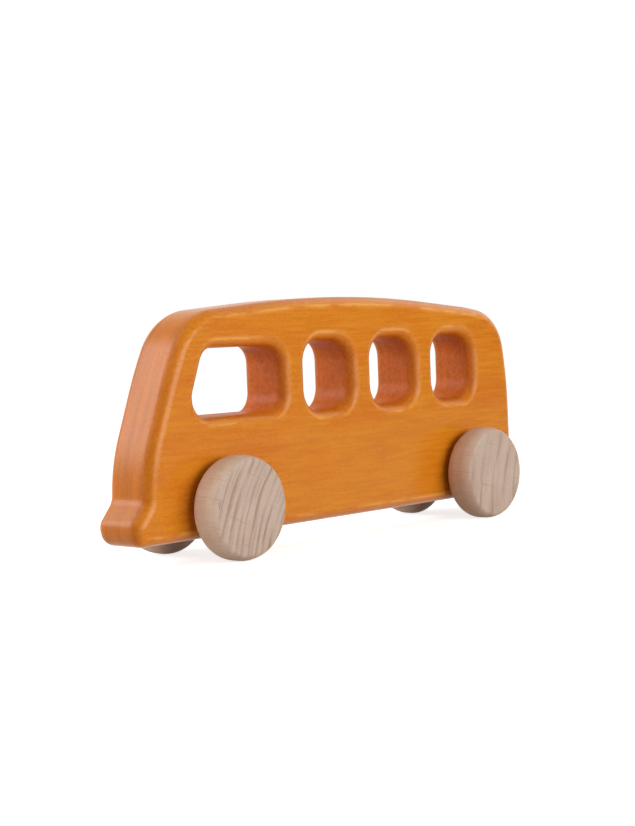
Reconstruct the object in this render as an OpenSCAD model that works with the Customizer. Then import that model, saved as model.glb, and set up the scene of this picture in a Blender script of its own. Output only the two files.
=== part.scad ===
// Push-along toy bus: a plank body with routed edges and windows, on two dowel axles
// that each turn in the body and carry two turned wheels, glued on.
// +X runs to the rear, the left side faces -Y, and the wheels stand on Z = 0.

/* [Body] */
// Length from the nose of the bumper to the rear
body_length = 202.8; // [185:0.1:240]
// Height from the underside to the crown of the roof
body_height = 79.3; // [75:0.1:95]
// Thickness of the plank
body_thickness = 20.8; // [16:0.1:32]
// Radius of the round-over along every edge of the plank
edge_round = 4.2; // [2:0.1:5]

/* [Front] */
// Radius of the bumper's nose
nose_radius = 4.9; // [4:0.1:6]
// Height of the nose's centre above the underside
nose_height = 5.95; // [5.4:0.05:7]
// Backward lean of the bumper's front below the nose, in degrees
bumper_undercut = 13.4; // [0:0.1:20]
// Radius of the bumper's lower edge
bumper_radius = 4.8; // [4:0.1:6]
// Slope of the flare from the bumper up to the windscreen, in degrees
flare_slope = 50.6; // [40:0.1:60]
// Radius of the hollow where the flare turns up into the windscreen
flare_radius = 5; // [3:0.1:8]
// Distance of that hollow behind the nose
flare_setback = 5.5; // [4.5:0.1:7]
// Distance of the windscreen's foot behind the nose
foot_setback = 6; // [5:0.1:9]
// Height of the windscreen's foot above the underside
foot_height = 26.2; // [24:0.1:32]
// Radius of the bend at the windscreen's foot
foot_radius = 58; // [20:1:70]
// Distance of the windscreen's middle bend behind the nose
windscreen_setback = 17.2; // [15:0.1:20]
// Height of the windscreen's middle bend above the underside
windscreen_height = 56; // [50:0.1:58]
// Radius of the windscreen's middle bend
windscreen_radius = 139; // [50:1:160]
// Distance of the brow, where windscreen and roof meet, behind the nose
brow_setback = 26.5; // [24:0.1:32]
// Radius of the brow
brow_radius = 23.3; // [10:0.1:26]

/* [Roof and rear] */
// Radius of the roof's crown
roof_radius = 530; // [300:10:600]
// Slope of the roof where it meets the brow, in degrees
brow_fall = 4.6; // [2:0.1:5]
// Slope of the roof where it meets the tail, in degrees
tail_fall = 5.5; // [2:0.1:6]
// Distance of the tail, where the roof starts to drop, ahead of the rear
tail_setback = 25.5; // [22:0.1:30]
// Radius of the tail
tail_radius = 50; // [20:1:80]
// Distance of the rear shoulder ahead of the rear
shoulder_setback = 5.4; // [4:0.1:7]
// Height of the rear shoulder above the underside
shoulder_height = 71.3; // [67:0.1:72]
// Radius of the rear shoulder
shoulder_radius = 19; // [10:0.1:22]
// Forward lean of the lower rear, in degrees
rear_lean = 0.95; // [0:0.05:2]
// Height above the underside where the rear starts to curve forward
rear_bend_height = 45; // [35:0.1:48]
// Radius of that curve
rear_bend_radius = 142; // [50:1:160]
// Radius of the lower rear corner
rear_radius = 5; // [3:0.1:8]

/* [Passenger windows] */
// Number of passenger windows
window_count = 3; // [1:1:3]
// Width of a passenger window
window_width = 23.7; // [16:0.1:25]
// Height of a passenger window
window_height = 24.9; // [16:0.1:28]
// Corner radius of a passenger window
window_corner = 7.9; // [3:0.1:8]
// Height of the passenger windows' sill above the underside
window_sill = 39.1; // [36:0.1:42]
// Width of the pillar between two windows
pillar_width = 12.05; // [9:0.05:15]
// Width of wood behind the last window
rear_pillar = 25.65; // [18:0.05:32]

/* [Driver's window] */
// Width of the driver's window along its sill
driver_width = 44.4; // [30:0.1:46]
// Height of the driver's window
driver_height = 22.7; // [16:0.1:25]
// Backward slant of its front edge, from sill to top
driver_slant = 8.5; // [0:0.1:12]
// Corner radius of the driver's window
driver_corner = 6.4; // [3:0.1:8]
// Height of its sill above the underside
driver_sill = 40.2; // [37:0.1:43]

/* [Wheels and axles] */
// Diameter of a wheel
wheel_diameter = 35; // [32:0.5:42]
// Thickness of a wheel
wheel_width = 12.6; // [11.8:0.1:18]
// Radius that rounds a wheel's rim towards its outer face
wheel_outer_round = 7.6; // [5:0.1:8]
// Radius that rounds a wheel's rim towards its inner face
wheel_inner_round = 5.8; // [1:0.1:6]
// Width of the rounded rim that shows round the flat of a wheel's outer face
wheel_margin = 1.5; // [1:0.1:4]
// Radius of the edge between that flat and the rim
wheel_edge = 1.5; // [0.5:0.1:2.5]
// Gap between a wheel and the body
wheel_gap = 1; // [0.5:0.1:3]
// Diameter of the axle dowels
axle_diameter = 8; // [6:0.5:10]
// Chamfer on the ends of the axle dowels
axle_chamfer = 0.8; // [0.3:0.1:1.5]
// Height of the axles above the body's underside
axle_height = 10.08; // [8:0.02:14]
// Distance of the front axle behind the nose
front_axle_setback = 38.15; // [30:0.05:45]
// Distance between the axles
wheelbase = 133.7; // [115:0.1:138]
// Depth of the glue hole in a wheel
glue_hole_depth = 10; // [7:0.1:11.5]
// Running clearance of an axle in the body, on the radius
axle_clearance = 0.08; // [0.02:0.01:0.1]
// Glue line between an axle and a wheel, on the radius and at the end
glue_line = 0.05; // [0.02:0.01:0.2]

/* [Hidden] */

$fn = 96;
body_colour = "#D9862B";
wheel_colour = "#CDB8A2";
axle_colour = "#D6BF9E";

// Largest distance between the plank's curves and the flats that stand for them
plank_error = 0.06;
// The same for a wheel's section
wheel_error = 0.01;
// Flats across a round-over
round_steps = 4;
// How far a cut runs past the face that it opens
past_face = 1;
// Smallest radius left where a round-over follows a corner
least_corner = 0.2;
// Shortest flat left between two rounded corners
least_flat = 0.1;

wheel_radius = wheel_diameter / 2;
underside = wheel_radius - axle_height;
front = -body_length / 2;
rear = body_length / 2;
half_thickness = body_thickness / 2;
wheel_face = half_thickness + wheel_gap;
axle_length = 2 * (wheel_face + glue_hole_depth - glue_line);
front_axle_x = front + front_axle_setback;
rear_axle_x = front_axle_x + wheelbase;

// Unit vector at an angle in the side view
function heading(angle) = [cos(angle), sin(angle)];

// A vector brought to length 1
function unit(v) = v / norm(v);

// Where two lines meet that both touch a circle, from the lines' outward normals
function tangent_corner(centre, radius, normal_1, normal_2) =
    centre + radius * (normal_1 + normal_2) / (1 + normal_1 * normal_2);

// Number of flats that stand for an arc of a given turn
function flats(radius, turn, error) = max(1, ceil(abs(turn) / (2 * acos(1 - error / radius))));

// Points round an arc of a wheel's section, from its first angle up to its last
function wheel_arc(centre, radius, first, last) =
    let (steps = flats(radius, last - first, wheel_error))
    [for (i = [0:steps]) centre + radius * heading(first + (last - first) * i / steps)];

// A list without its first entry
function rest(list) = [for (i = [1:len(list) - 1]) list[i]];

// A convex corner is at least as round as the cutter that follows it
function routed(radius) = max(radius, edge_round + least_corner);

// An outline is a list of corners, anticlockwise, each [x, height, radius].
// Its corners are counted round and round.
function corner(corners, i) = corners[(i + len(corners)) % len(corners)];

// Place of a corner
function place(corners, i) = [corner(corners, i)[0], corner(corners, i)[1]];

// Step from a corner to the next
function edge(corners, i) = place(corners, i + 1) - place(corners, i);

// Turn of the outline at a corner, in degrees: positive where the corner is convex
function turn(corners, i) =
    let (
        come = edge(corners, i - 1),
        go = edge(corners, i)
    )
    atan2(cross(come, go), come * go);

// Length that a corner's arc takes from the edge on each side of it
function take_up(corners, i) = corner(corners, i)[2] * tan(abs(turn(corners, i)) / 2);

// Part of its radius that a corner keeps, so that two arcs have room on the edge between them
function room(corners, i) =
    min([1, for (k = [i - 1, i])
        (norm(edge(corners, k)) - least_flat) / (take_up(corners, k) + take_up(corners, k + 1))]);

// The arc that rounds one corner, as pairs of a point and its outward normal
function corner_arc(corners, i) =
    let (
        come = unit(edge(corners, i - 1)),
        bend = turn(corners, i),
        side = bend < 0 ? -1 : 1,
        radius = corner(corners, i)[2] * room(corners, i),
        normal = [come[1], -come[0]],
        start = place(corners, i) - come * radius * tan(abs(bend) / 2),
        centre = start - side * radius * normal,
        first = atan2(normal[1], normal[0]),
        steps = flats(radius, bend, plank_error)
    )
    [for (k = [0:steps])
        let (out = heading(first + bend * k / steps))
        [centre + side * radius * out, out]];

// A closed outline with every corner rounded
function rounded_outline(corners) =
    [for (i = [0:len(corners) - 1]) each corner_arc(corners, i)];

// Steps of a quarter-round from one face of the plank to the other, as [inset, place across it]
quarter_round = [for (i = [0:round_steps])
    let (angle = 90 * i / round_steps)
    [edge_round * (1 - sin(angle)), half_thickness - edge_round * (1 - cos(angle))]];
across_plank = concat(
    [for (step = quarter_round) [step[0], -step[1]]],
    [for (i = [round_steps:-1:0]) quarter_round[i]]
);
// The same steps for a hole: it flares out where the plank's edge draws in,
// and its last flat runs on past the face
flare_end = 2 * quarter_round[0] - quarter_round[1];
across_hole = concat(
    [[-flare_end[0], -flare_end[1]]],
    [for (step = across_plank) [-step[0], step[1]]],
    [[-flare_end[0], flare_end[1]]]
);

// Solid between two faces of the plank: the outline, drawn in by each level's inset
module skin(outline, levels, middle) {
    count = len(outline);
    last = len(levels) - 1;
    rings = [for (level = levels) for (spot = outline)
        [spot[0][0] - level[0] * spot[1][0], level[1], spot[0][1] - level[0] * spot[1][1]]];
    caps = [for (level = [levels[0], levels[last]]) [middle[0], level[1], middle[1]]];
    wall = [for (k = [0:last - 1]) for (i = [0:count - 1])
        let (
            a = k * count + i,
            b = k * count + (i + 1) % count
        )
        each [[a, b, b + count], [a, b + count, a + count]]];
    near_cap = [for (i = [0:count - 1]) [count * len(levels), (i + 1) % count, i]];
    far_cap = [for (i = [0:count - 1])
        [count * len(levels) + 1, last * count + i, last * count + (i + 1) % count]];
    polyhedron(points = concat(rings, caps), faces = concat(wall, near_cap, far_cap));
}

// Side view of the plank
flare_x = front + flare_setback;
nose_corner = tangent_corner(
    [front + routed(nose_radius), nose_height],
    routed(nose_radius),
    heading(90 + flare_slope),
    heading(180 + bumper_undercut)
);
rear_corner = tangent_corner(
    [rear - routed(rear_radius), routed(rear_radius)],
    routed(rear_radius),
    heading(270),
    heading(rear_lean)
);
roof_turn = brow_fall + tail_fall;
crown_x = roof_radius * (cos(brow_fall) - cos(tail_fall)) / sin(roof_turn);
crown_height = body_height - roof_radius
    + roof_radius * (sin(brow_fall) + sin(tail_fall)) / sin(roof_turn);
brow_x = front + brow_setback;
tail_x = rear - tail_setback;
body_corners = [
    [nose_corner[0] + nose_corner[1] * tan(bumper_undercut), 0, routed(bumper_radius)],
    [rear_corner[0], rear_corner[1], routed(rear_radius)],
    [rear_corner[0] - rear_bend_height * tan(rear_lean), rear_bend_height, rear_bend_radius],
    [rear - shoulder_setback, shoulder_height, routed(shoulder_radius)],
    [tail_x, crown_height - (tail_x - crown_x) * tan(tail_fall), routed(tail_radius)],
    [crown_x, crown_height, roof_radius],
    [brow_x, crown_height - (crown_x - brow_x) * tan(brow_fall), routed(brow_radius)],
    [front + windscreen_setback, windscreen_height, windscreen_radius],
    [front + foot_setback, foot_height, foot_radius],
    [flare_x, nose_corner[1] + (flare_x - nose_corner[0]) * tan(flare_slope), flare_radius],
    [nose_corner[0], nose_corner[1], routed(nose_radius)],
];
body_middle = [0, body_height / 2];

// Rear edge of a passenger window, counted from the last one forward
function window_rear(k) = rear - rear_pillar - k * (window_width + pillar_width);

// Corners of a window between two edges, with its front edge slanted back
function window_corners(back, width, height, slant, sill, corner) = [
    [back - width, sill, corner],
    [back, sill, corner],
    [back, sill + height, corner],
    [back - width + slant, sill + height, corner],
];

module window(back, width, height, slant, sill, corner) {
    corners = window_corners(back, width, height, slant, sill, corner);
    skin(rounded_outline(corners), across_hole, [back - width / 2, sill + height / 2]);
}

module passenger_windows() {
    for (k = [0:window_count - 1])
        window(window_rear(k), window_width, window_height, 0, window_sill, window_corner);
}

module driver_window() {
    window(window_rear(window_count), driver_width, driver_height, driver_slant,
        driver_sill, driver_corner);
}

// Hole for an axle, right through the plank
module axle_hole(x) {
    translate([x, 0, axle_height])
        rotate([90, 0, 0])
        cylinder(d = axle_diameter + 2 * axle_clearance,
            h = body_thickness + 2 * past_face, center = true);
}

module body() {
    color(body_colour)
        translate([0, 0, underside])
        difference() {
            skin(rounded_outline(body_corners), across_plank, body_middle);
            passenger_windows();
            driver_window();
            axle_hole(front_axle_x);
            axle_hole(rear_axle_x);
        }
}

// A dowel with chamfered ends, across the bus
module axle(x) {
    half = axle_length / 2;
    radius = axle_diameter / 2;
    color(axle_colour)
        translate([x, 0, wheel_radius])
        rotate([90, 0, 0])
        rotate_extrude()
        polygon([
            [0, -half],
            [radius - axle_chamfer, -half],
            [radius, -half + axle_chamfer],
            [radius, half - axle_chamfer],
            [radius - axle_chamfer, half],
            [0, half],
        ]);
}

// Half section of a wheel: radius, and height above its inner face
rim_rise = sqrt(pow(wheel_outer_round, 2) - pow(wheel_outer_round - wheel_margin, 2));
rim_centre = [wheel_radius - wheel_outer_round, wheel_width - rim_rise];
edge_rise = rim_rise - wheel_edge;
edge_reach = sqrt(pow(wheel_outer_round - wheel_edge, 2) - pow(edge_rise, 2));
edge_angle = atan2(edge_rise, edge_reach);
wheel_section = concat(
    [[0, 0]],
    wheel_arc([wheel_radius - wheel_inner_round, wheel_inner_round], wheel_inner_round, -90, 0),
    wheel_arc(rim_centre, wheel_outer_round, 0, edge_angle),
    rest(wheel_arc(rim_centre + [edge_reach, edge_rise], wheel_edge, edge_angle, 90)),
    [[0, wheel_width]]
);

// A turned wheel with its glue hole, outer face to the left (side -1) or the right (side 1)
module wheel(x, side) {
    color(wheel_colour)
        translate([x, side * wheel_face, wheel_radius])
        rotate([-90 * side, 0, 0])
        difference() {
            rotate_extrude()
                polygon(wheel_section);
            translate([0, 0, -past_face])
                cylinder(d = axle_diameter + 2 * glue_line, h = glue_hole_depth + past_face);
        }
}

module front_axle() { axle(front_axle_x); }
module rear_axle() { axle(rear_axle_x); }
module front_left_wheel() { wheel(front_axle_x, -1); }
module front_right_wheel() { wheel(front_axle_x, 1); }
module rear_left_wheel() { wheel(rear_axle_x, -1); }
module rear_right_wheel() { wheel(rear_axle_x, 1); }

body();
front_axle();
rear_axle();
front_left_wheel();
front_right_wheel();
rear_left_wheel();
rear_right_wheel();
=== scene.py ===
"""A push-along wooden toy bus: a stained plank body on two dowel axles and four turned beech wheels."""

import math
from collections import namedtuple

import bmesh
import bpy
from bpy.props import FloatProperty, FloatVectorProperty, IntProperty, PointerProperty
from mathutils import Matrix, Vector


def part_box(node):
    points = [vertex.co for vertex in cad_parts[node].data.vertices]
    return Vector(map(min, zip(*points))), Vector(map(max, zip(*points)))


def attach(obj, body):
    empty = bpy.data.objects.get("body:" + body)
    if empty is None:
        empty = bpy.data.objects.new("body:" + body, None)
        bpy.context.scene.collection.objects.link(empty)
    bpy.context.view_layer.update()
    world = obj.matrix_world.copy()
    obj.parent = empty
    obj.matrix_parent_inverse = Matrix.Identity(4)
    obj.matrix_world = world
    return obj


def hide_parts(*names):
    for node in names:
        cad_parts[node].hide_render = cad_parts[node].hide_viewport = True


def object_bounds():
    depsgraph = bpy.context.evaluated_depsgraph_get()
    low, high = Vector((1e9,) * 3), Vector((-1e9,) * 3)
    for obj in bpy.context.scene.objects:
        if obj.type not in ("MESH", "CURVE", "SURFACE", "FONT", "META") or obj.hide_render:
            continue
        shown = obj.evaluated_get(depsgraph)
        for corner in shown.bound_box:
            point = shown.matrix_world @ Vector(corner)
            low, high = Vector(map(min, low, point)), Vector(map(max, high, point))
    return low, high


bl_info = {
    "name": "Wooden toy bus",
    "version": (1, 0, 0),
    "blender": (4, 5, 0),
    "location": "3D View > Sidebar > Toy bus",
    "description": "Models a wooden toy bus piece by piece, with its finishes and a plain stage",
    "category": "Add Mesh",
}

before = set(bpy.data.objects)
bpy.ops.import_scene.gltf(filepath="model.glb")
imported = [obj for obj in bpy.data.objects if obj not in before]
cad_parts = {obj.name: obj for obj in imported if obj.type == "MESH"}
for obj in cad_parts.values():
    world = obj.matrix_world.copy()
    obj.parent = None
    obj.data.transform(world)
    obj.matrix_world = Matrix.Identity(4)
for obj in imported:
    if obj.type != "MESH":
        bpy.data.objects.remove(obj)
cad_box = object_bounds()

MM = 0.001

# Modelling tolerances, in metres and radians
PEN_SIZE = 1 * MM
JOIN_GAP = 0.002 * MM
CURVE_ERROR = 0.004 * MM
SHARP_ANGLE = math.radians(35)
FLAT_ANGLE = math.radians(0.05)
FLAT_COSINE = 0.999
PAST_FACE = 2 * MM

# Flats across a round-over, round a wheel and round a drilled hole
ROUND_OVER_STEPS = 10
WHEEL_STEPS = 160
HOLE_STEPS = 64

# Lean at which a round-over gets the most worn stain and painted highlight, and how far either way they
# reach, in degrees
SCUFF_AND_HIGHLIGHT_LEAN = 18
SCUFF_AND_HIGHLIGHT_SPREAD = 12

# Depth of the grain's relief in the finishes
RELIEF_DEPTH = 0.1 * MM

# Axes of the frame, and a quarter turn
ACROSS = Vector((0, 1, 0))
UP = Vector((0, 0, 1))
QUARTER = math.radians(90)

# The moving body that each wheel rides on
WHEELS = {
    "front_left_wheel": "front_wheelset",
    "front_right_wheel": "front_wheelset",
    "rear_left_wheel": "rear_wheelset",
    "rear_right_wheel": "rear_wheelset",
}
AXLES = ("front_axle", "rear_axle")

# A corner of an outline in the side view, and the arc that rounds it
Corner = namedtuple("Corner", "place radius")
Arc = namedtuple("Arc", "start end centre turn radius")


def length(label, about, default):
    """A size that a user can set, in metres."""
    return FloatProperty(
        name=label, description=about, default=default, min=0, precision=5, unit="LENGTH"
    )


def angle(label, about, degrees):
    """An angle that a user can set, given here in degrees."""
    return FloatProperty(
        name=label, description=about, default=math.radians(degrees), subtype="ANGLE"
    )


def colour(label, about, default):
    """A linear colour that a user can set."""
    return FloatVectorProperty(
        name=label, description=about, default=default, min=0, max=1, size=3, subtype="COLOR"
    )


def factor(label, about, default):
    """A plain number that a user can set."""
    return FloatProperty(name=label, description=about, default=default, min=0)


class ToyBusBody(bpy.types.PropertyGroup):
    """Sizes of the plank body. Heights are above its underside, setbacks behind its nose."""

    edge_round: length("Edge round", "Radius of the round-over along every edge", 4.2 * MM)
    nose_radius: length("Nose radius", "Radius of the bumper's nose", 4.9 * MM)
    nose_height: length("Nose height", "Height of the nose's centre", 5.95 * MM)
    bumper_undercut: angle("Bumper undercut", "Backward lean of the bumper below the nose", 13.4)
    bumper_radius: length("Bumper radius", "Radius of the bumper's lower edge", 4.8 * MM)
    flare_slope: angle("Flare slope", "Slope from the bumper up to the windscreen", 50.6)
    flare_radius: length("Flare radius", "Radius of the hollow above the bumper", 5 * MM)
    flare_setback: length("Flare setback", "Distance of that hollow behind the nose", 5.5 * MM)
    foot_setback: length("Foot setback", "Distance of the windscreen's foot", 6 * MM)
    foot_height: length("Foot height", "Height of the windscreen's foot", 26.2 * MM)
    foot_radius: length("Foot radius", "Radius of the bend at the windscreen's foot", 58 * MM)
    windscreen_setback: length("Windscreen setback", "Distance of its middle bend", 17.2 * MM)
    windscreen_height: length("Windscreen height", "Height of its middle bend", 56 * MM)
    windscreen_radius: length("Windscreen radius", "Radius of its middle bend", 139 * MM)
    brow_setback: length("Brow setback", "Where windscreen and roof meet", 26.5 * MM)
    brow_radius: length("Brow radius", "Radius of the brow", 23.3 * MM)
    roof_radius: length("Roof radius", "Radius of the roof's crown", 530 * MM)
    brow_fall: angle("Brow fall", "Slope of the roof at the brow", 4.6)
    tail_fall: angle("Tail fall", "Slope of the roof at the tail", 5.5)
    tail_setback: length("Tail setback", "Distance of the tail ahead of the rear", 25.5 * MM)
    tail_radius: length("Tail radius", "Radius of the tail", 50 * MM)
    shoulder_setback: length("Shoulder setback", "Distance ahead of the rear", 5.4 * MM)
    shoulder_height: length("Shoulder height", "Height of the rear shoulder", 71.3 * MM)
    shoulder_radius: length("Shoulder radius", "Radius of the rear shoulder", 19 * MM)
    rear_lean: angle("Rear lean", "Forward lean of the lower rear", 0.95)
    rear_bend_height: length("Rear bend height", "Where the rear curves forward", 45 * MM)
    rear_bend_radius: length("Rear bend radius", "Radius of that curve", 142 * MM)
    rear_radius: length("Rear radius", "Radius of the lower rear corner", 5 * MM)
    window_count: IntProperty(
        name="Windows", description="Number of passenger windows", default=3, min=1, max=3
    )
    window_width: length("Window width", "Width of a passenger window", 23.7 * MM)
    window_height: length("Window height", "Height of a passenger window", 24.9 * MM)
    window_corner: length("Window corner", "Corner radius of a passenger window", 7.9 * MM)
    window_sill: length("Window sill", "Height of the passenger windows' sill", 39.1 * MM)
    pillar_width: length("Pillar width", "Width of wood between two windows", 12.05 * MM)
    rear_pillar: length("Rear pillar", "Width of wood behind the last window", 25.65 * MM)
    driver_width: length("Driver's width", "Width of the driver's window at its sill", 44.4 * MM)
    driver_height: length("Driver's height", "Height of the driver's window", 22.7 * MM)
    driver_slant: length("Driver's slant", "Backward slant of its front edge", 8.5 * MM)
    driver_corner: length("Driver's corner", "Corner radius of the driver's window", 6.4 * MM)
    driver_sill: length("Driver's sill", "Height of the driver's sill", 40.2 * MM)
    axle_hole: length("Axle hole", "Diameter of the holes for the axles", 8.16 * MM)


class ToyBusWheels(bpy.types.PropertyGroup):
    """Sizes of a turned wheel."""

    outer_round: length("Outer round", "Radius of the rim towards the outer face", 7.6 * MM)
    inner_round: length("Inner round", "Radius of the rim towards the inner face", 5.8 * MM)
    margin: length("Margin", "Width of the rounded rim that shows round the face", 1.5 * MM)
    edge: length("Edge", "Radius of the edge between the face and the rim", 1.5 * MM)
    glue_hole: length("Glue hole", "Diameter of the blind hole for the axle", 8.1 * MM)
    glue_hole_depth: length("Glue hole depth", "Depth of that hole", 10 * MM)


class ToyBusFinish(bpy.types.PropertyGroup):
    """Colours of the finishes, in linear values."""

    stain: colour("Stain", "Stained wood along the grain", (0.69, 0.220, 0.009))
    stain_deep: colour("Deep stain", "Patches that took more stain", (0.67, 0.190, 0.008))
    stain_end: colour("End-grain stain", "Stained end grain", (0.50, 0.137, 0.008))
    # Window walls: stain soaked in deeper, with painted shade making them darker and redder
    stain_and_shade_inside: colour("Inner stain", "Walls of the windows", (0.64, 0.125, 0.012))
    # Pale stain of worn edges, also used to paint a highlight line along the shoulders
    stain_scuff_and_highlight: colour("Scuffed stain", "Edges where the stain is rubbed thin", (0.88, 0.42, 0.08))
    beech: colour("Beech", "Pale wood between the growth rings", (0.58, 0.435, 0.345))
    beech_ring: colour("Growth ring", "Late wood of a growth ring", (0.32, 0.20, 0.135))
    beech_ray: colour("Ray", "Fine rays across the rings", (0.40, 0.27, 0.18))
    beech_fleck: colour("Fleck", "Short dark flecks along the rings", (0.17, 0.09, 0.055))
    beech_side: colour("Rim", "Beech cut along the grain, on a wheel's rim", (0.63, 0.445, 0.32))
    dowel: colour("Dowel", "Beech of the axle dowels", (0.62, 0.48, 0.33))


class ToyBusStage(bpy.types.PropertyGroup):
    """The view, which is the photographed one, and the light."""

    aim: FloatVectorProperty(
        name="Aim",
        description="Point that the camera looks at",
        default=(-3.9 * MM, 0, 45 * MM),
        size=3,
        subtype="TRANSLATION",
    )
    distance: length("Distance", "Distance from the camera to that point", 607 * MM)
    azimuth: angle("Azimuth", "Turn of the camera to the left from a square side view", 47.36)
    elevation: angle("Elevation", "Height of the camera above the level view", 2.84)
    roll: angle("Roll", "Turn of the camera about its line of sight", 2.13)
    lens: factor("Lens", "Focal length in millimetres on a 36 mm sensor", 73.0)
    floor_size: length("Floor size", "Width of the floor", 12)
    surround: factor("Surround", "Strength of the light from all round", 0.10)


# Drawing with extrude and spin


def begin_piece(name):
    """Make an empty mesh object and stay in its edit mode."""
    bpy.ops.object.select_all(action="DESELECT")
    bpy.ops.mesh.primitive_plane_add(size=PEN_SIZE)
    piece = bpy.context.active_object
    piece.name = name
    piece.data.name = name
    bpy.ops.object.mode_set(mode="EDIT")
    bpy.ops.mesh.select_all(action="SELECT")
    bpy.ops.mesh.delete(type="VERT")
    return piece


def pen_down(point):
    """Leave one selected vertex at a point, to draw an outline from."""
    bpy.ops.mesh.select_all(action="DESELECT")
    bpy.ops.mesh.primitive_plane_add(size=PEN_SIZE)
    bpy.ops.mesh.merge(type="CENTER")
    bpy.ops.transform.translate(value=point)


def draw_line(step):
    """Draw a straight stretch from the pen."""
    bpy.ops.mesh.extrude_region_move(TRANSFORM_OT_translate={"value": step})


def draw_arc(centre, turn, radius, axis):
    """Draw an arc from the pen, turning right-handed about an axis through its centre."""
    flat = 2 * math.acos(1 - CURVE_ERROR / radius)
    steps = max(2, math.ceil(abs(turn) / flat))
    bpy.ops.mesh.spin(steps=steps, angle=-turn, center=centre, axis=axis)


def close_outlines():
    """Join the ends of what was drawn, and leave it all selected."""
    bpy.ops.mesh.select_all(action="SELECT")
    bpy.ops.mesh.remove_doubles(threshold=JOIN_GAP)


def select_faces(test):
    """Select the faces of the edited mesh that pass a test, and no others."""
    bpy.ops.mesh.select_all(action="DESELECT")
    mesh = bpy.context.active_object.data
    edited = bmesh.from_edit_mesh(mesh)
    for face in edited.faces:
        if test(face):
            face.select_set(True)
    bmesh.update_edit_mesh(mesh)


def select_only(piece):
    """Select one object and make it the active one."""
    bpy.ops.object.select_all(action="DESELECT")
    piece.select_set(True)
    bpy.context.view_layer.objects.active = piece


def apply_modifier(piece, kind, **settings):
    """Add a modifier to a piece, set it and apply it."""
    modifier = piece.modifiers.new(kind.title(), kind)
    for name, value in settings.items():
        setattr(modifier, name, value)
    select_only(piece)
    bpy.ops.object.modifier_apply(modifier=modifier.name)


def smooth(piece):
    """Shade a piece smooth, with its sharp edges and its flat faces kept."""
    select_only(piece)
    bpy.ops.object.shade_smooth_by_angle(angle=SHARP_ANGLE)
    apply_modifier(piece, "WEIGHTED_NORMAL", keep_sharp=True, weight=100)


def store_on_vertices(piece, measures):
    """Store values on each vertex of a piece, each by its name and worked out by its function."""
    edited = bmesh.new()
    edited.from_mesh(piece.data)
    layers = {name: edited.verts.layers.float.new(name) for name in measures}
    for vertex in edited.verts:
        for name, measure in measures.items():
            vertex[layers[name]] = measure(vertex)
    edited.to_mesh(piece.data)
    edited.free()


def middle_of(box):
    """The middle of a box, from its lowest and highest corners."""
    low, high = box
    return (low + high) / 2


# The body


def heading(turn):
    """Unit vector at an angle in the side view."""
    return Vector((math.cos(turn), math.sin(turn)))


def tangent_corner(centre, radius, normal_1, normal_2):
    """Where two lines meet that both touch a circle, from the lines' outward normals."""
    return centre + radius * (normal_1 + normal_2) / (1 + normal_1.dot(normal_2))


def corner_arc(corners, i):
    """The arc that rounds one corner of an anticlockwise outline."""
    here = corners[i].place
    come = (here - corners[i - 1].place).normalized()
    go = (corners[(i + 1) % len(corners)].place - here).normalized()
    turn = math.atan2(come.cross(go), come.dot(go))
    radius = corners[i].radius
    reach = radius * math.tan(abs(turn) / 2)
    start = here - come * reach
    centre = start + Vector((-come.y, come.x)) * math.copysign(radius, turn)
    return Arc(start, here + go * reach, centre, turn, radius)


def body_corners(sizes, front, rear, underside, top):
    """Corners of the body's outline, anticlockwise from the bumper's lower edge."""
    flare_x = front + sizes.flare_setback
    nose_normals = (
        heading(math.radians(90) + sizes.flare_slope),
        heading(math.radians(180) + sizes.bumper_undercut),
    )
    nose_centre = Vector((front + sizes.nose_radius, sizes.nose_height))
    nose = tangent_corner(nose_centre, sizes.nose_radius, *nose_normals)
    rear_centre = Vector((rear - sizes.rear_radius, sizes.rear_radius))
    rear_normals = (heading(math.radians(270)), heading(sizes.rear_lean))
    lower_rear = tangent_corner(rear_centre, sizes.rear_radius, *rear_normals)
    roof = sizes.roof_radius
    roof_turn = sizes.brow_fall + sizes.tail_fall
    crown_x = roof * (math.cos(sizes.brow_fall) - math.cos(sizes.tail_fall)) / math.sin(roof_turn)
    falls = math.sin(sizes.brow_fall) + math.sin(sizes.tail_fall)
    crown = top - underside - roof + roof * falls / math.sin(roof_turn)
    brow_x = front + sizes.brow_setback
    tail_x = rear - sizes.tail_setback
    corners = (
        (nose.x + nose.y * math.tan(sizes.bumper_undercut), 0, sizes.bumper_radius),
        (lower_rear.x, lower_rear.y, sizes.rear_radius),
        (
            lower_rear.x - sizes.rear_bend_height * math.tan(sizes.rear_lean),
            sizes.rear_bend_height,
            sizes.rear_bend_radius,
        ),
        (rear - sizes.shoulder_setback, sizes.shoulder_height, sizes.shoulder_radius),
        (tail_x, crown - (tail_x - crown_x) * math.tan(sizes.tail_fall), sizes.tail_radius),
        (crown_x, crown, roof),
        (brow_x, crown - (crown_x - brow_x) * math.tan(sizes.brow_fall), sizes.brow_radius),
        (front + sizes.windscreen_setback, sizes.windscreen_height, sizes.windscreen_radius),
        (front + sizes.foot_setback, sizes.foot_height, sizes.foot_radius),
        (flare_x, nose.y + (flare_x - nose.x) * math.tan(sizes.flare_slope), sizes.flare_radius),
        (nose.x, nose.y, sizes.nose_radius),
    )
    return [Corner(Vector((x, underside + z)), radius) for x, z, radius in corners]


def window_corners(back, width, height, slant, sill, radius):
    """Corners of a window between two upright edges, with its front edge slanted back."""
    places = (
        (back - width, sill),
        (back, sill),
        (back, sill + height),
        (back - width + slant, sill + height),
    )
    return [Corner(Vector(place), radius) for place in places]


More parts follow.
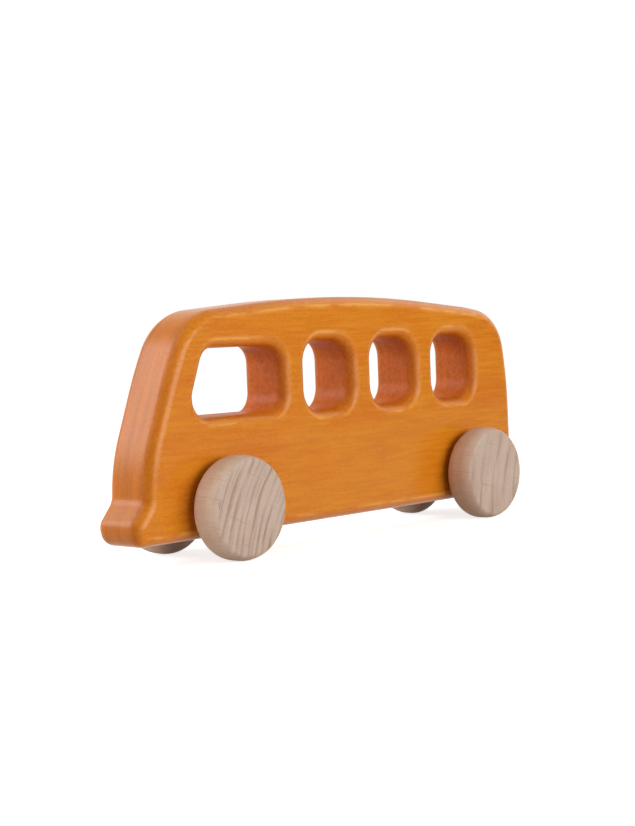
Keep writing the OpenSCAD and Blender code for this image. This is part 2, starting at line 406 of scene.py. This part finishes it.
def window_outlines(sizes, rear, underside):
    """Outlines of the windows, from the last passenger window forward to the driver's."""
    pitch = sizes.window_width + sizes.pillar_width
    backs = [rear - sizes.rear_pillar - k * pitch for k in range(sizes.window_count + 1)]
    outlines = [
        window_corners(
            back,
            sizes.window_width,
            sizes.window_height,
            0,
            underside + sizes.window_sill,
            sizes.window_corner,
        )
        for back in backs[:-1]
    ]
    outlines.append(
        window_corners(
            backs[-1],
            sizes.driver_width,
            sizes.driver_height,
            sizes.driver_slant,
            underside + sizes.driver_sill,
            sizes.driver_corner,
        )
    )
    return outlines


def draw_outline(corners, level):
    """Draw a closed outline of the side view at one place across the plank."""
    arcs = [corner_arc(corners, i) for i in range(len(corners))]
    pen_down((arcs[0].start.x, level, arcs[0].start.y))
    for arc, following in zip(arcs, arcs[1:] + arcs[:1]):
        draw_arc((arc.centre.x, level, arc.centre.y), arc.turn, arc.radius, -ACROSS)
        step = following.start - arc.end
        draw_line((step.x, 0, step.y))


def round_over(radius, side):
    """Round the rims of the selected flat by insetting it along a quarter circle."""
    for step in range(ROUND_OVER_STEPS):
        first = QUARTER * step / ROUND_OVER_STEPS
        last = QUARTER * (step + 1) / ROUND_OVER_STEPS
        inset = radius * (math.cos(first) - math.cos(last))
        rise = radius * (math.sin(last) - math.sin(first))
        bpy.ops.mesh.inset(thickness=inset, use_boundary=True, use_even_offset=True)
        bpy.ops.transform.translate(value=side * rise * ACROSS)


def drill(piece, centre, diameter, depth):
    """Drill a hole right across a piece."""
    bpy.ops.object.select_all(action="DESELECT")
    bpy.ops.mesh.primitive_cylinder_add(
        vertices=HOLE_STEPS,
        radius=diameter / 2,
        depth=depth,
        location=centre,
        rotation=(QUARTER, 0, 0),
    )
    bit = bpy.context.active_object
    apply_modifier(piece, "BOOLEAN", object=bit, operation="DIFFERENCE", solver="EXACT")
    bpy.data.objects.remove(bit)


def mark_wood(piece, sizes, windows):
    """Store on each vertex how much it lies on a shoulder's worn, highlight-painted line, on end grain
    and in a window.
    """
    half_thickness = max(abs(vertex.co.y) for vertex in piece.data.vertices)
    corners = [corner.place for outline in windows for corner in outline]
    reach = sizes.edge_round + JOIN_GAP
    left, right = min(p.x for p in corners) - reach, max(p.x for p in corners) + reach
    bottom, top = min(p.y for p in corners) - reach, max(p.y for p in corners) + reach
    middles = [sum((c.place for c in outline), Vector((0, 0))) / len(outline) for outline in windows]

    def depth(vertex):
        """Depth behind the plank's flat side, as a share of the round-over's radius."""
        return (half_thickness - abs(vertex.co.y)) / sizes.edge_round

    def outward(vertex):
        """Direction that a vertex faces in the side view."""
        return Vector((vertex.normal.x, vertex.normal.z)).normalized()

    def rim(vertex):
        """How much stain is rubbed, and highlight painted: along the plank's shoulders, and not on its
        ends.
        """
        lean = math.degrees(math.acos(max(0.0, min(1.0, 1 - depth(vertex)))))
        scuff_and_highlight = max(0.0, 1 - abs(lean - SCUFF_AND_HIGHLIGHT_LEAN) / SCUFF_AND_HIGHLIGHT_SPREAD)
        return scuff_and_highlight * (1 - abs(outward(vertex).x))

    def end_grain(vertex):
        """How much a vertex faces along the plank, which is the way the grain runs."""
        return abs(vertex.normal.x)

    def inside(vertex):
        """How deep a vertex lies in a window, where it faces that window's middle."""
        place = Vector((vertex.co.x, vertex.co.z))
        nearest = min(middles, key=lambda middle: (middle - place).length)
        faces_window = outward(vertex).dot(nearest - place) > 0
        in_window = faces_window and left < place.x < right and bottom < place.y < top
        return min(1.0, depth(vertex)) if in_window else 0.0

    store_on_vertices(piece, {"rim": rim, "end_grain": end_grain, "inside": inside})


def model_body(sizes):
    """Model the plank body with its windows, its round-overs and its axle holes."""
    low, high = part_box("body")
    thickness = high.y - low.y
    wall = thickness - 2 * sizes.edge_round
    piece = begin_piece("routed_body")
    draw_outline(body_corners(sizes, low.x, high.x, low.z, high.z), -wall / 2)
    windows = window_outlines(sizes, high.x, low.z)
    for corners in windows:
        draw_outline(corners, -wall / 2)
    close_outlines()
    bpy.ops.mesh.fill(use_beauty=True)
    bpy.ops.mesh.dissolve_limited(angle_limit=FLAT_ANGLE)
    draw_line((0, wall, 0))
    bpy.ops.mesh.select_all(action="SELECT")
    bpy.ops.mesh.normals_make_consistent(inside=False)
    for side in (-1, 1):
        select_faces(lambda face: face.normal.y * side > FLAT_COSINE)
        round_over(sizes.edge_round, side)
    bpy.ops.object.mode_set(mode="OBJECT")
    mark_wood(piece, sizes, windows)
    for axle in AXLES:
        drill(piece, middle_of(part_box(axle)), sizes.axle_hole, thickness + 2 * PAST_FACE)
    smooth(piece)
    return piece


# The wheels


def model_wheel(sizes, node):
    """Turn a left wheel: draw half its section outwards from the axle and spin it round."""
    low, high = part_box(node)
    centre = middle_of((low, high))
    radius = (high.x - low.x) / 2
    rim_rise = math.sqrt(sizes.outer_round**2 - (sizes.outer_round - sizes.margin) ** 2)
    rim_centre = Vector((centre.x + radius - sizes.outer_round, low.y + rim_rise, centre.z))
    edge_rise = rim_rise - sizes.edge
    edge_reach = math.sqrt((sizes.outer_round - sizes.edge) ** 2 - edge_rise**2)
    edge_centre = rim_centre + Vector((edge_reach, -edge_rise, 0))
    rim_turn = math.atan2(edge_rise, edge_reach)
    inner_centre = Vector((centre.x + radius - sizes.inner_round, high.y - sizes.inner_round, centre.z))
    piece = begin_piece("turned_" + node)
    pen_down((centre.x, low.y, centre.z))
    draw_line((edge_centre.x - centre.x, 0, 0))
    draw_arc(edge_centre, QUARTER - rim_turn, sizes.edge, UP)
    draw_arc(rim_centre, rim_turn, sizes.outer_round, UP)
    draw_line((0, inner_centre.y - rim_centre.y, 0))
    draw_arc(inner_centre, QUARTER, sizes.inner_round, UP)
    draw_line((centre.x + sizes.glue_hole / 2 - inner_centre.x, 0, 0))
    draw_line((0, -sizes.glue_hole_depth, 0))
    draw_line((-sizes.glue_hole / 2, 0, 0))
    bpy.ops.mesh.select_all(action="SELECT")
    bpy.ops.mesh.spin(steps=WHEEL_STEPS, angle=math.radians(360), center=centre, axis=ACROSS)
    close_outlines()
    bpy.ops.mesh.normals_make_consistent(inside=False)
    bpy.ops.object.mode_set(mode="OBJECT")
    # The grain runs along the axle
    store_on_vertices(piece, {"end_grain": lambda vertex: abs(vertex.normal.y)})
    smooth(piece)
    return piece


def copy_wheel(wheel, source_node, node):
    """Copy a left wheel to another place, turned round where its outer face is on the right."""
    source = middle_of(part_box(source_node))
    place = middle_of(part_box(node))
    select_only(wheel)
    bpy.ops.object.duplicate(linked=False)
    copy = bpy.context.active_object
    copy.name = "turned_" + node
    copy.data.name = copy.name
    if place.y > 0:
        bpy.ops.transform.rotate(value=math.pi, orient_axis="Z", center_override=source)
    bpy.ops.transform.translate(value=place - source)
    bpy.ops.object.transform_apply(location=True, rotation=True, scale=True)
    return copy


# Building a material's nodes


def new_material(name):
    """A new material, its node tree and its shader."""
    material = bpy.data.materials.new(name)
    material.use_nodes = True
    tree = material.node_tree
    return material, tree, tree.nodes["Principled BSDF"]


def feed(tree, socket, value):
    """Link a socket to another one, or set its value."""
    if isinstance(value, bpy.types.NodeSocket):
        tree.links.new(value, socket)
    elif socket.type == "RGBA" and len(value) == 3:
        socket.default_value = (*value, 1)
    else:
        socket.default_value = value


def add_node(tree, kind, inputs=None, **settings):
    """Add a node, set it and feed its inputs, by name or by number."""
    node = tree.nodes.new(kind)
    for name, value in settings.items():
        setattr(node, name, value)
    for name, value in (inputs or {}).items():
        feed(tree, node.inputs[name], value)
    return node


def calculate(tree, operation, first, second=0.0):
    """The result of a sum on one or two numbers."""
    node = add_node(tree, "ShaderNodeMath", {0: first, 1: second}, operation=operation)
    return node.outputs[0]


def remap(tree, value, low, high, to_low=0.0, to_high=1.0):
    """A value eased from one range to another and held at its ends."""
    inputs = {"Value": value, 1: low, 2: high, 3: to_low, 4: to_high}
    node = add_node(tree, "ShaderNodeMapRange", inputs, interpolation_type="SMOOTHSTEP")
    return node.outputs[0]


def blend(tree, amount, first, second, mode="MIX"):
    """Two colours blended by an amount."""
    node = add_node(tree, "ShaderNodeMix", data_type="RGBA", blend_type=mode)
    for name, value in (("Factor_Float", amount), ("A_Color", first), ("B_Color", second)):
        socket = next(s for s in node.inputs if s.identifier == name)
        feed(tree, socket, value)
    return next(s for s in node.outputs if s.identifier == "Result_Color")


def stretch(tree, vector, location=(0, 0, 0), rotation=(0, 0, 0), scale=(1, 1, 1)):
    """Coordinates moved, turned and scaled."""
    inputs = {"Vector": vector, "Location": location, "Rotation": rotation, "Scale": scale}
    return add_node(tree, "ShaderNodeMapping", inputs).outputs["Vector"]


def noise(tree, vector, scale=1.0, detail=2.0, roughness=0.5):
    """A smooth random value over a vector."""
    inputs = {"Vector": vector, "Scale": scale, "Detail": detail, "Roughness": roughness}
    return add_node(tree, "ShaderNodeTexNoise", inputs).outputs["Fac"]


def attribute(tree, name):
    """A value stored on the mesh."""
    return add_node(tree, "ShaderNodeAttribute", attribute_name=name).outputs["Fac"]


def weighted(tree, first, share, second):
    """A mean of two values, with the first one's share given."""
    first_part = calculate(tree, "MULTIPLY", first, share)
    second_part = calculate(tree, "MULTIPLY", second, 1 - share)
    return calculate(tree, "ADD", first_part, second_part)


def tinted(tree, wood, red, green):
    """A colour with its red multiplied by one factor, and its green and blue by another."""
    tint = add_node(tree, "ShaderNodeCombineColor", {0: red, 1: green, 2: green}).outputs[0]
    return blend(tree, 1.0, wood, tint, "MULTIPLY")


def emboss(tree, shader, height, strength):
    """Give a finish the fine relief of its grain."""
    inputs = {"Height": height, "Strength": strength, "Distance": RELIEF_DEPTH}
    bump = add_node(tree, "ShaderNodeBump", inputs)
    feed(tree, shader.inputs["Normal"], bump.outputs["Normal"])


def seen(tree):
    """1 where a surface is looked at, also in gloss or through glass, and 0 where it lights others."""
    rays = add_node(tree, "ShaderNodeLightPath").outputs
    mirrored = calculate(tree, "MAXIMUM", rays["Is Camera Ray"], rays["Is Glossy Ray"])
    return calculate(tree, "MAXIMUM", mirrored, rays["Is Transmission Ray"])


# The finishes


def stained_wood(finish):
    """Orange stain under a satin oil: fine grain along the plank, redder end grain, rubbed edges with a
    painted highlight line, and painted shade in the windows.
    """
    material, tree, shader = new_material("stained_wood")
    place = add_node(tree, "ShaderNodeTexCoord").outputs["Object"]
    end_grain = remap(tree, attribute(tree, "end_grain"), 0.25, 0.85)
    inside = attribute(tree, "inside")
    partly_inside = calculate(tree, "MULTIPLY", inside, 0.6)

    # The stain: cloudy, darker on end grain, and redder deeper in the windows, from more stain and from
    # painted shade
    clouds = noise(tree, stretch(tree, place, scale=(38, 90, 75)), detail=3, roughness=0.55)
    stain = blend(tree, remap(tree, clouds, 0.38, 0.68), finish.stain, finish.stain_deep)
    stain = blend(tree, end_grain, stain, finish.stain_end)
    stain = blend(tree, partly_inside, stain, finish.stain_and_shade_inside)

    # The grain: fibres and flecks along the plank, over the tree's layers
    layers = noise(tree, stretch(tree, place, scale=(9, 320, 24)), detail=4, roughness=0.6)
    fibre = noise(tree, stretch(tree, place, scale=(70, 1400, 900)), detail=2)
    fleck = noise(tree, stretch(tree, place, scale=(720, 2600, 1500)), detail=1)
    fine = weighted(tree, fibre, 0.45, fleck)
    grain = weighted(tree, fine, 0.82, layers)
    red = remap(tree, grain, 0.36, 0.64, 0.93, 1.06)
    green = remap(tree, grain, 0.36, 0.64, 0.84, 1.15)
    wood = tinted(tree, stain, red, green)

    # The layers seen edge-on in the end grain, and blotches on the windows' walls
    edge_on = remap(tree, layers, 0.36, 0.64, 0.90, 1.07)
    outside = calculate(tree, "SUBTRACT", end_grain, partly_inside)
    wood = blend(tree, outside, wood, tinted(tree, wood, edge_on, edge_on))
    soaked = remap(tree, noise(tree, place, scale=650, detail=2), 0.35, 0.65, 0.89, 1.09)
    wood = blend(tree, inside, wood, tinted(tree, wood, soaked, soaked))

    # Stain rubbed thin in patches of the shoulders, which also paints a highlight line there, and pale
    # streaks along the grain
    along = calculate(tree, "SUBTRACT", 1.0, end_grain)
    patches = noise(tree, stretch(tree, place, scale=(55, 240, 240)), detail=4, roughness=0.7)
    patches = remap(tree, patches, 0.43, 0.57)
    scuff_and_highlight = calculate(tree, "MULTIPLY", attribute(tree, "rim"), patches)
    streaks = noise(tree, stretch(tree, place, scale=(11, 60, 420)), detail=2)
    streaks = calculate(tree, "MULTIPLY", remap(tree, streaks, 0.60, 0.72, 0.0, 0.12), along)
    pale = calculate(tree, "MAXIMUM", calculate(tree, "MULTIPLY", scuff_and_highlight, 0.9), streaks)
    wood = blend(tree, pale, wood, finish.stain_scuff_and_highlight)

    feed(tree, shader.inputs["Base Color"], wood)
    rough = remap(tree, fibre, 0.3, 0.7, 0.24, 0.31)
    rough = calculate(tree, "ADD", rough, calculate(tree, "MULTIPLY", inside, 0.16))
    rough = calculate(tree, "ADD", rough, calculate(tree, "MULTIPLY", end_grain, 0.08))
    feed(tree, shader.inputs["Roughness"], rough)
    shader.inputs["Specular IOR Level"].default_value = 0.22
    emboss(tree, shader, fine, 0.08)
    return material


# How a wheel's wood lies: lean of its rings, offset of the tree's middle, width of a ring, contrast
Grain = namedtuple("Grain", "lean pith ring_width contrast")
WHEEL_GRAIN = {
    "front_left_wheel": Grain(math.radians(-25), 70 * MM, 3.1 * MM, 0.7),
    "front_right_wheel": Grain(math.radians(100), 80 * MM, 4.6 * MM, 0.7),
    "rear_left_wheel": Grain(math.radians(-14), 120 * MM, 6.8 * MM, 0.5),
    "rear_right_wheel": Grain(math.radians(140), 95 * MM, 5.2 * MM, 0.6),
}


def turned_beech(finish, node, grain):
    """Plain beech turned with its grain along the axle: rings and rays on the faces."""
    material, tree, shader = new_material("turned_beech_" + node)
    place = add_node(tree, "ShaderNodeTexCoord").outputs["Object"]
    end_grain = remap(tree, attribute(tree, "end_grain"), 0.25, 0.9)

    # Places on the wheel: turned to lie across the rings, and with the distance from the tree's middle
    from_axle = {0: place, 1: middle_of(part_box(node))}
    local = add_node(tree, "ShaderNodeVectorMath", from_axle, operation="SUBTRACT").outputs[0]
    turned = stretch(tree, local, rotation=(0, grain.lean, 0))
    axes = add_node(tree, "ShaderNodeSeparateXYZ", {0: turned}).outputs
    flat = stretch(tree, turned, location=(-grain.pith, 0, 0), scale=(1, 0, 1))
    reach = add_node(tree, "ShaderNodeVectorMath", {0: flat}, operation="LENGTH").outputs["Value"]
    across_rings = {0: reach, 1: axes["Y"], 2: axes["Z"]}
    ringwise = add_node(tree, "ShaderNodeCombineXYZ", across_rings).outputs[0]

    # Growth rings that wander and fade, finer rings between them, and short flecks
    wander = noise(tree, stretch(tree, ringwise, scale=(150, 6, 26)), detail=3)
    wander = calculate(tree, "SUBTRACT", wander, 0.5)
    sway = calculate(tree, "MULTIPLY", wander, 1.3 * grain.ring_width)
    rings = calculate(tree, "DIVIDE", calculate(tree, "ADD", reach, sway), grain.ring_width)
    share = calculate(tree, "FRACT", rings)
    darkening = remap(tree, share, 0.35, 0.92)
    ending = remap(tree, share, 0.92, 1.0, 1.0, 0.0)
    late = calculate(tree, "MULTIPLY", darkening, ending)
    strength = noise(tree, stretch(tree, ringwise, scale=(330, 10, 55)), detail=3)
    late = calculate(tree, "MULTIPLY", late, remap(tree, strength, 0.36, 0.62, 0.08, 1.05))
    fine_rings = noise(tree, stretch(tree, ringwise, scale=(900, 12, 36)), detail=2)
    late = calculate(tree, "ADD", late, remap(tree, fine_rings, 0.50, 0.72, 0.0, 0.45))
    shown = calculate(tree, "MULTIPLY", end_grain, grain.contrast)
    wood = blend(tree, end_grain, finish.beech_side, finish.beech)
    wood = blend(tree, calculate(tree, "MULTIPLY", late, shown), wood, finish.beech_ring)
    flecks = noise(tree, stretch(tree, ringwise, scale=(620, 30, 120)), detail=2)
    flecks = calculate(tree, "MULTIPLY", remap(tree, flecks, 0.68, 0.76, 0.0, 0.7), shown)
    wood = blend(tree, flecks, wood, finish.beech_fleck)

    # Rays across the rings, and the tint of pores and clouds
    rays = noise(tree, stretch(tree, turned, scale=(90, 60, 1500)), detail=2)
    rays = remap(tree, rays, 0.62, 0.74)
    wood = blend(tree, calculate(tree, "MULTIPLY", rays, 0.35), wood, finish.beech_ray)
    pores = noise(tree, stretch(tree, turned, scale=(2200, 90, 2200)), detail=1)
    clouds = noise(tree, stretch(tree, turned, scale=(120, 30, 90)), detail=2)
    uneven = calculate(tree, "ADD", pores, clouds)
    red = remap(tree, uneven, 0.75, 1.25, 0.95, 1.04)
    green = remap(tree, uneven, 0.75, 1.25, 0.92, 1.06)
    wood = tinted(tree, wood, red, green)

    feed(tree, shader.inputs["Base Color"], wood)
    shader.inputs["Roughness"].default_value = 0.62
    shader.inputs["Specular IOR Level"].default_value = 0.25
    emboss(tree, shader, pores, 0.1)
    return material


def dowel_beech(finish):
    """Plain beech dowel, with its grain along the axle."""
    material, tree, shader = new_material("dowel_beech")
    place = add_node(tree, "ShaderNodeTexCoord").outputs["Object"]
    fibre = noise(tree, stretch(tree, place, scale=(900, 40, 900)), detail=3)
    shade = remap(tree, fibre, 0.35, 0.65, 0.86, 1.08)
    feed(tree, shader.inputs["Base Color"], tinted(tree, finish.dowel, shade, shade))
    shader.inputs["Roughness"].default_value = 0.6
    return material


# The stage

WHITE = (1, 1, 1, 1)
FLOOR_GREY = (0.66, 0.66, 0.66, 1)
CARD_BLACK = (0.02, 0.02, 0.02, 1)

# Camera: its sensor in millimetres, and the nearest and farthest that it shows in metres
SENSOR_WIDTH = 36
NEAREST_SEEN = 0.01
FARTHEST_SEEN = 100

# Soft lights: bearing from the left side and rise in degrees, size in metres, power in watts, and
# whether the finish mirrors them
Lamp = namedtuple("Lamp", "bearing rise width height power mirrored")
LAMP_DISTANCE = 0.9
LAMPS = {
    "left_softbox": Lamp(-138, 26, 0.52, 0.5, 5.1, True),
    "right_softbox": Lamp(2, 13, 0.78, 0.38, 5.9, True),
    "front_fill": Lamp(-92, 4, 0.14, 0.1, 1.5, False),
    "rear_softbox": Lamp(82, 34, 0.6, 0.5, 1.2, True),
    "top_softbox": Lamp(-96, 52, 0.45, 0.45, 1.6, True),
}

# Dark cards: bearing from the left side and rise in degrees, distance and size in metres
Card = namedtuple("Card", "bearing rise distance width height")
CARDS = {
    "right_card": Card(56, -2, 0.8, 0.42, 0.22),
    "camera_card": Card(-62, 2, 0.9, 0.95, 0.5),
}


def plain_floor(size):
    """A white floor that keeps the shadow of what stands on it."""
    material, tree, shader = new_material("white_floor")
    shader.inputs["Base Color"].default_value = FLOOR_GREY
    shader.inputs["Roughness"].default_value = 0.9
    shader.inputs["Specular IOR Level"].default_value = 0.0
    place = add_node(tree, "ShaderNodeTexCoord").outputs["Object"]
    reach = add_node(tree, "ShaderNodeVectorMath", {0: place}, operation="LENGTH").outputs["Value"]
    glow = remap(tree, reach, 0.15, 0.8, 0.77, 0.97)
    shader.inputs["Emission Color"].default_value = WHITE
    feed(tree, shader.inputs["Emission Strength"], calculate(tree, "MULTIPLY", seen(tree), glow))
    bpy.ops.object.select_all(action="DESELECT")
    bpy.ops.mesh.primitive_plane_add(size=size, location=(0, 0, 0))
    floor = bpy.context.active_object
    floor.name = "floor"
    floor.data.materials.append(material)


def white_surround(strength):
    """A world that looks white and lights the object softly from all round."""
    world = bpy.data.worlds.new("white_surround")
    world.use_nodes = True
    tree = world.node_tree
    background = tree.nodes["Background"]
    background.inputs["Color"].default_value = WHITE
    feed(tree, background.inputs["Strength"], remap(tree, seen(tree), 0.0, 1.0, strength, 1.0))
    bpy.context.scene.world = world


def facing(turn, rise):
    """Unit vector from the bus to a viewpoint. A turn of 0 is square to its left side."""
    level = math.cos(rise)
    return Vector((math.sin(turn) * level, -math.cos(turn) * level, math.sin(rise)))


def aim_at_bus(thing, bearing, rise, distance):
    """Put a lamp or a card at a bearing and a rise in degrees, so that it faces the bus's middle."""
    back = facing(math.radians(bearing), math.radians(rise))
    thing.location = middle_of(cad_box) + back * distance
    thing.rotation_euler = back.to_track_quat("Z", "Y").to_euler()


def soft_light(name, lamp):
    """A soft light that faces the middle of the bus."""
    softbox = bpy.data.lights.new(name, "AREA")
    softbox.shape = "RECTANGLE"
    softbox.size = lamp.width
    softbox.size_y = lamp.height
    softbox.energy = lamp.power
    light = bpy.data.objects.new(name, softbox)
    aim_at_bus(light, lamp.bearing, lamp.rise, LAMP_DISTANCE)
    light.visible_camera = False
    light.visible_glossy = lamp.mirrored
    bpy.context.scene.collection.objects.link(light)


def dark_card(name, card):
    """A dark card that only the gloss of the finish shows, as a studio's unlit side does."""
    material, _, shader = new_material(name)
    shader.inputs["Base Color"].default_value = CARD_BLACK
    shader.inputs["Roughness"].default_value = 0.9
    bpy.ops.object.select_all(action="DESELECT")
    bpy.ops.mesh.primitive_plane_add(size=1)
    board = bpy.context.active_object
    board.name = name
    board.scale = (card.width, card.height, 1)
    aim_at_bus(board, card.bearing, card.rise, card.distance)
    board.data.materials.append(material)
    board.visible_camera = False
    board.visible_diffuse = False
    board.visible_transmission = False
    board.visible_shadow = False


def photo_camera(stage):
    """A camera at the photograph's viewing angle."""
    turn = -stage.azimuth
    back = facing(turn, stage.elevation)
    level = Vector((math.cos(turn), math.sin(turn), 0))
    axes = Matrix((level, back.cross(level), back)).transposed()
    camera = bpy.data.objects.new("camera", bpy.data.cameras.new("camera"))
    camera.data.lens = stage.lens
    camera.data.sensor_width = SENSOR_WIDTH
    camera.data.clip_start = NEAREST_SEEN
    camera.data.clip_end = FARTHEST_SEEN
    tilt = axes @ Matrix.Rotation(-stage.roll, 3, "Z")
    camera.matrix_world = Matrix.Translation(Vector(stage.aim) + back * stage.distance) @ tilt.to_4x4()
    bpy.context.scene.collection.objects.link(camera)
    bpy.context.scene.camera = camera


# Operators


class TOYBUS_OT_body(bpy.types.Operator):
    """Model and stain the plank body"""

    bl_idname = "toy_bus.body"
    bl_label = "Body"

    def execute(self, context):
        body = model_body(context.scene.toy_bus_body)
        body.data.materials.append(stained_wood(context.scene.toy_bus_finish))
        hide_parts("body")
        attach(body, "body")
        return {"FINISHED"}


class TOYBUS_OT_axles(bpy.types.Operator):
    """Give the axle dowels their wood"""

    bl_idname = "toy_bus.axles"
    bl_label = "Axles"

    def execute(self, context):
        wood = dowel_beech(context.scene.toy_bus_finish)
        for axle in AXLES:
            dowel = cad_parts[axle]
            dowel.data.materials.clear()
            dowel.data.materials.append(wood)
        return {"FINISHED"}


class TOYBUS_OT_wheels(bpy.types.Operator):
    """Turn one wheel, copy it to the other places and give each its own wood"""

    bl_idname = "toy_bus.wheels"
    bl_label = "Wheels"

    def execute(self, context):
        first, *others = WHEELS
        wheels = {first: model_wheel(context.scene.toy_bus_wheels, first)}
        for node in others:
            wheels[node] = copy_wheel(wheels[first], first, node)
        for node, wheel in wheels.items():
            wood = turned_beech(context.scene.toy_bus_finish, node, WHEEL_GRAIN[node])
            wheel.data.materials.append(wood)
            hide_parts(node)
            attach(wheel, WHEELS[node])
        return {"FINISHED"}


class TOYBUS_OT_stage(bpy.types.Operator):
    """Set up the floor, the light and the camera"""

    bl_idname = "toy_bus.stage"
    bl_label = "Stage"

    def execute(self, context):
        stage = context.scene.toy_bus_stage
        plain_floor(stage.floor_size)
        white_surround(stage.surround)
        for name, lamp in LAMPS.items():
            soft_light(name, lamp)
        for name, card in CARDS.items():
            dark_card(name, card)
        photo_camera(stage)
        context.scene.view_settings.view_transform = "Standard"
        return {"FINISHED"}


class TOYBUS_PT_panel(bpy.types.Panel):
    """Lists the steps that make the bus"""

    bl_idname = "TOYBUS_PT_panel"
    bl_label = "Toy bus"
    bl_space_type = "VIEW_3D"
    bl_region_type = "UI"
    bl_category = "Toy bus"

    def draw(self, context):
        for step in STEPS:
            self.layout.operator(step.bl_idname)


STEPS = (TOYBUS_OT_body, TOYBUS_OT_axles, TOYBUS_OT_wheels, TOYBUS_OT_stage)
GROUPS = {
    "toy_bus_body": ToyBusBody,
    "toy_bus_wheels": ToyBusWheels,
    "toy_bus_finish": ToyBusFinish,
    "toy_bus_stage": ToyBusStage,
}
CLASSES = (*GROUPS.values(), *STEPS, TOYBUS_PT_panel)


def register():
    """Register the classes and give the scene its settings."""
    for made in CLASSES:
        bpy.utils.register_class(made)
    for name, group in GROUPS.items():
        setattr(bpy.types.Scene, name, PointerProperty(type=group))


def unregister():
    """Take the settings and the classes away again."""
    for name in GROUPS:
        delattr(bpy.types.Scene, name)
    for made in reversed(CLASSES):
        bpy.utils.unregister_class(made)


def main():
    """Make the bus and its stage."""
    register()
    bpy.ops.toy_bus.body()
    bpy.ops.toy_bus.axles()
    bpy.ops.toy_bus.wheels()
    bpy.ops.toy_bus.stage()


if __name__ == "__main__":
    main()
